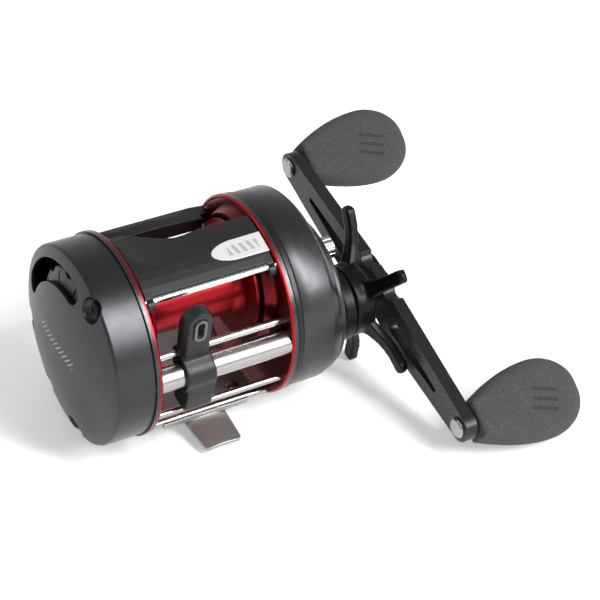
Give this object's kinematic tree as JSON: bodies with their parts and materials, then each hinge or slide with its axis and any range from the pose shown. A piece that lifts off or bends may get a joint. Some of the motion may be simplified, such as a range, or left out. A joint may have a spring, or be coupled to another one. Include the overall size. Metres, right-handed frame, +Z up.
{
  "type": "baitcasting reel",
  "caption": "Round baitcasting fishing reel with level wind, thumb bar clutch, star drag, magnetic brake dial and a double handle with foam paddle knobs.",
  "frame": {"origin": "on the underside of the reel foot, midway between the two frame rings and under the rings' common axis", "axes": "+X along the spool axis to the handle side, -Y to the front where the line leaves, +Z up out of the rod"},
  "size_m": [0.1419, 0.1282, 0.062],
  "materials": {
    "ring_red": "satin red anodised aluminium",
    "cover_grey": "brushed gunmetal lacquer",
    "plate_grey": "dark grey satin metal",
    "black_metal": "black satin coated metal",
    "black_plastic": "black satin moulded plastic",
    "steel": "polished stainless steel",
    "bright_chrome": "bright chrome plate",
    "badge_silver": null,
    "spool_red": "bright red anodised aluminium",
    "gear_brass": "cut brass",
    "white_nylon": "natural white nylon",
    "drag_fibre": "woven carbon fibre friction disc",
    "magnet_grey": "nickel plated magnet",
    "eye_ceramic": "polished grey ceramic ring",
    "grip_foam": "dense grey EVA foam"
  },
  "bodies": {
    "frame": {"left_ring": "ring_red", "right_ring": "ring_red", "gear_plate": "plate_grey", "palm_plate": "cover_grey", "gear_cover": "cover_grey", "palm_plate_screws": "black_metal", "cover_screws": "black_metal", "bearing_housing": "black_metal", "guide_bar": "steel", "worm_tube": "steel", "tube_bush": "black_plastic", "front_bar": "steel", "foot_bars": "steel", "rear_bar": "steel", "hood_bar": "bright_chrome", "reel_foot": "steel", "foot_rivets": "steel", "thumb_rest": "black_plastic", "badge": "badge_silver", "spool_bearings": "steel", "pinion_bearing": "steel", "clutch_springs": "steel", "anti_reverse_bearing": "steel"},
    "thumb_bar": {"thumb_bar": "black_plastic", "clutch_cam": "white_nylon"},
    "spool": {"spool": "spool_red", "spool_shaft": "steel", "drive_pin": "steel", "brake_rotor": "magnet_grey"},
    "yoke": {"clutch_yoke": "steel"},
    "pinion": {"pinion": "gear_brass"},
    "crank": {"drive_shaft": "steel", "ratchet_wheel": "steel", "main_gear": "gear_brass", "drag_washers": "drag_fibre", "drag_plate": "steel", "spring_washers": "steel", "handle_arm": "black_metal", "handle_nut": "bright_chrome", "nut_retainer": "black_metal", "knob_spindles": "bright_chrome", "wind_drive_gear": "white_nylon"},
    "star": {"star_drag": "black_metal"},
    "back_knob": {"back_knob": "grip_foam"},
    "front_knob": {"front_knob": "grip_foam"},
    "idler": {"wind_idler": "white_nylon"},
    "worm": {"worm_gear": "white_nylon", "worm_shaft": "gear_brass"},
    "carriage": {"line_guide": "black_plastic", "guide_eye": "eye_ceramic", "wind_pawl": "gear_brass", "pawl_cap": "steel"},
    "brake_dial": {"brake_dial": "black_plastic"},
    "magnets": {"magnet_carrier": "white_nylon", "brake_magnets": "magnet_grey"},
    "tension": {"tension_knob": "bright_chrome", "tension_shim": "gear_brass"}
  },
  "joints": [
    {"name": "handle_turn", "type": "hinge", "parent": "frame", "child": "crank", "pos_m": [0, -0.0128, 0.02321], "axis": [1, 0, 0], "continuous": true},
    {"name": "spool_spin", "type": "hinge", "parent": "frame", "child": "spool", "pos_m": [0, 0.0015, 0.0325], "axis": [1, 0, 0], "continuous": true},
    {"name": "clutch_slide", "type": "slide", "parent": "frame", "child": "yoke", "axis": [1, 0, 0], "range_m": [0, 0.0016]},
    {"name": "pinion_spin", "type": "hinge", "parent": "yoke", "child": "pinion", "pos_m": [0, 0.0015, 0.0325], "axis": [1, 0, 0], "continuous": true},
    {"name": "star_turn", "type": "hinge", "parent": "crank", "child": "star", "pos_m": [0, -0.0128, 0.02321], "axis": [1, 0, 0], "range_deg": [-180, 180]},
    {"name": "back_knob_spin", "type": "hinge", "parent": "crank", "child": "back_knob", "pos_m": [0, 0.03974, 0.03216], "axis": [1, 0, 0], "continuous": true},
    {"name": "front_knob_spin", "type": "hinge", "parent": "crank", "child": "front_knob", "pos_m": [0, -0.06534, 0.01427], "axis": [1, 0, 0], "continuous": true},
    {"name": "idler_spin", "type": "hinge", "parent": "frame", "child": "idler", "pos_m": [0, -0.02147, 0.02472], "axis": [1, 0, 0], "continuous": true},
    {"name": "worm_spin", "type": "hinge", "parent": "frame", "child": "worm", "pos_m": [0, -0.0265, 0.0293], "axis": [1, 0, 0], "continuous": true},
    {"name": "line_guide_slide", "type": "slide", "parent": "frame", "child": "carriage", "axis": [1, 0, 0], "range_m": [-0.0055, 0.0225]},
    {"name": "thumb_press", "type": "slide", "parent": "frame", "child": "thumb_bar", "axis": [0, 0, -1], "range_m": [0, 0.005], "stiffness_N_per_m": 400, "springref_m": -0.002},
    {"name": "brake_turn", "type": "hinge", "parent": "frame", "child": "brake_dial", "pos_m": [0, 0.0015, 0.0325], "axis": [1, 0, 0], "range_deg": [0, 270]},
    {"name": "magnet_slide", "type": "slide", "parent": "frame", "child": "magnets", "axis": [1, 0, 0], "range_m": [0, 0.0009]},
    {"name": "tension_turn", "type": "hinge", "parent": "frame", "child": "tension", "pos_m": [0, 0.0015, 0.0325], "axis": [1, 0, 0], "range_deg": [-180, 180]}
  ],
  "couplings": [
    {"joint": "spool_spin", "follows": "handle_turn", "ratio": -5.2},
    {"joint": "pinion_spin", "follows": "handle_turn", "ratio": -5.2},
    {"joint": "idler_spin", "follows": "handle_turn", "ratio": -0.83333},
    {"joint": "worm_spin", "follows": "handle_turn", "ratio": 2},
    {"joint": "clutch_slide", "follows": "thumb_press", "ratio": 0.32},
    {"joint": "magnet_slide", "follows": "brake_turn", "m_per_rad": 0.00019099}
  ]
}
